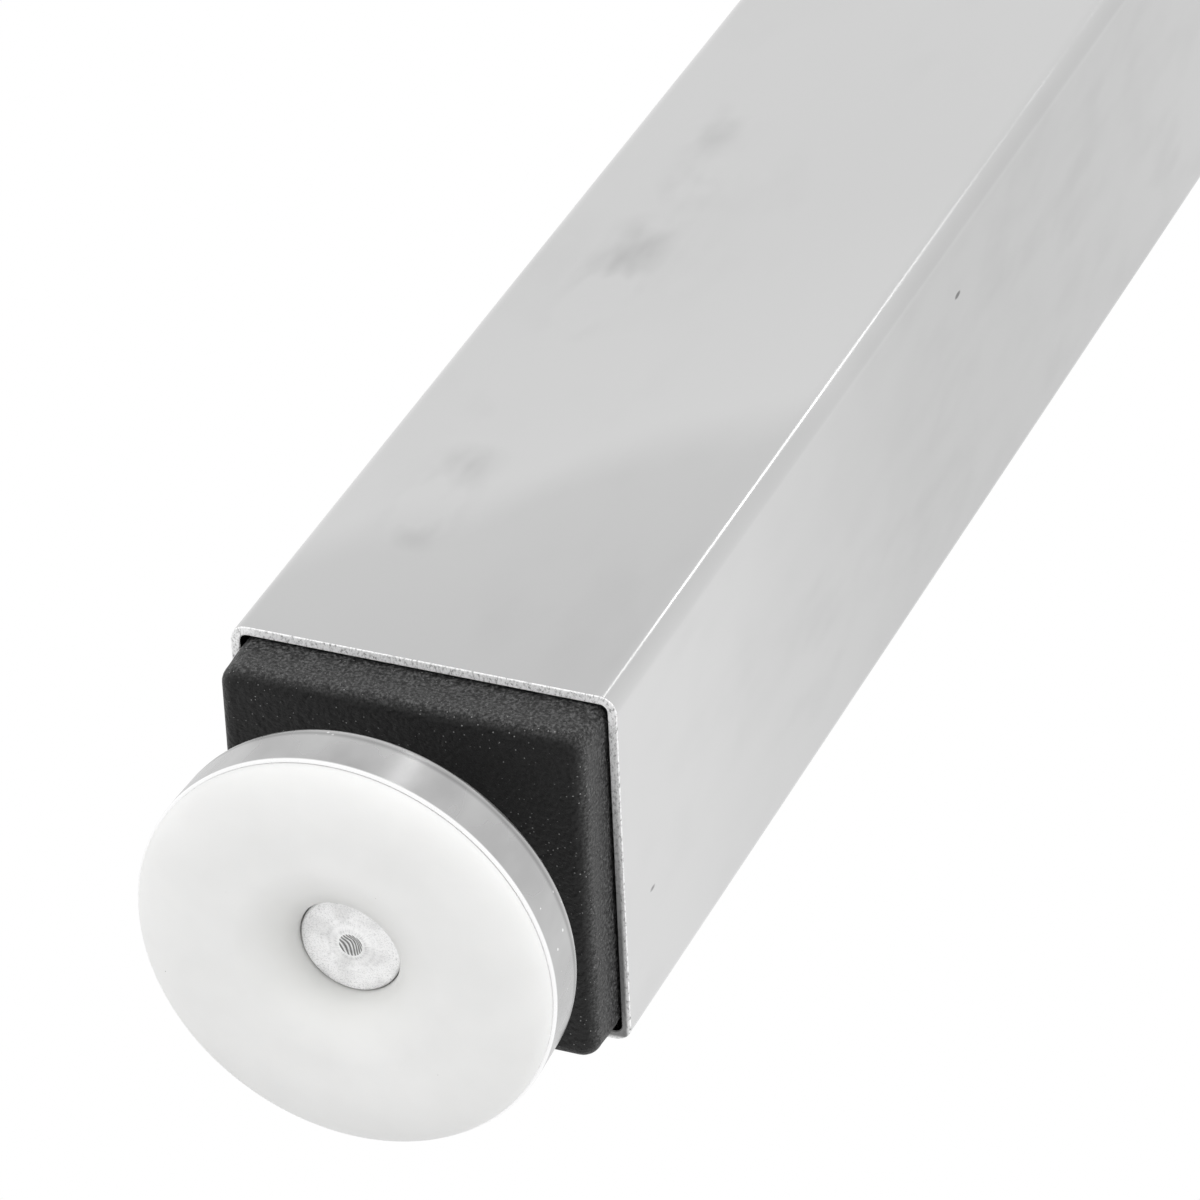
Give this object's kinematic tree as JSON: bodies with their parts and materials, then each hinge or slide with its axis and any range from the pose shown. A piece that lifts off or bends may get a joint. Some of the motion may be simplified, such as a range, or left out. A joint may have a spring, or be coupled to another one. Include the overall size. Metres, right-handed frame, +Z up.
{
  "type": "folding table leg",
  "caption": "Square steel table leg that folds flat under a screw-on plate, locked by a knob in an arc slot, with a screw-adjusted levelling glide.",
  "frame": {"origin": "centre of the mounting plate's upper face", "axes": "+Z up out of the mounting face; the leg hangs along -Z; +X out of the knob side along the hinge bolt; the leg folds towards +Y"},
  "size_m": [0.1031, 0.1, 0.71],
  "materials": {
    "chrome_tube": "bright plated, lightly satin",
    "zinc_plate": "bright zinc plated",
    "weld_metal": "plated weld bead",
    "fastener_steel": "zinc plated",
    "rivet_steel": "polished",
    "cup_steel": "drawn and plated",
    "stud_steel": "turned",
    "brass_insert": "turned",
    "black_moulding": "fine spark grain",
    "knob_plastic": "moulded, matt",
    "white_nylon": "moulded, soft sheen",
    "bush_nylon": "moulded",
    "nut_nylon": "moulded"
  },
  "bodies": {
    "bracket": {"mounting_plate": "zinc_plate", "hinge_yoke": "zinc_plate", "weld_bead_front": "weld_metal", "weld_bead_back": "weld_metal", "hinge_bolt": "fastener_steel", "bolt_washer_left": "fastener_steel", "bolt_washer_right": "fastener_steel", "lock_nut": "fastener_steel", "lock_nut_ring": "nut_nylon"},
    "leg": {"leg_tube": "chrome_tube", "hinge_head": "black_moulding", "hinge_bush_left": "bush_nylon", "hinge_bush_right": "bush_nylon", "clamp_spacer_left": "bush_nylon", "clamp_spacer_right": "bush_nylon", "head_rivet_1": "rivet_steel", "head_rivet_2": "rivet_steel", "head_rivet_3": "rivet_steel", "head_rivet_4": "rivet_steel", "clamp_bolt": "fastener_steel", "foot_plug": "black_moulding", "foot_nut": "fastener_steel"},
    "washer": {"clamp_washer": "fastener_steel"},
    "knob": {"clamp_knob": "knob_plastic", "knob_insert": "brass_insert"},
    "glide": {"glide_cup": "cup_steel", "glide_pad": "white_nylon"},
    "stud": {"glide_stud": "stud_steel"}
  },
  "joints": [
    {"name": "fold", "type": "hinge", "parent": "bracket", "child": "leg", "pos_m": [0, 0, -0.032], "axis": [1, 0, 0], "range_deg": [0, 90]},
    {"name": "clamp_travel", "type": "slide", "parent": "leg", "child": "washer", "axis": [1, 0, 0], "range_m": [0, 0.00251]},
    {"name": "knob_spin", "type": "hinge", "parent": "washer", "child": "knob", "pos_m": [0, 0, -0.057], "axis": [1, 0, 0], "range_deg": [0, 720]},
    {"name": "foot_travel", "type": "slide", "parent": "leg", "child": "glide", "axis": [0, 0, 1], "range_m": [-0.01501, 0.00451]},
    {"name": "stud_spin", "type": "hinge", "parent": "glide", "child": "stud", "pos_m": [0, 0, -0.6812], "axis": [0, 0, 1], "range_deg": [-3600, 1080]}
  ],
  "couplings": [
    {"joint": "clamp_travel", "follows": "knob_spin", "m_per_rad": 0.00019894},
    {"joint": "foot_travel", "follows": "stud_spin", "m_per_rad": 0.00023873}
  ]
}
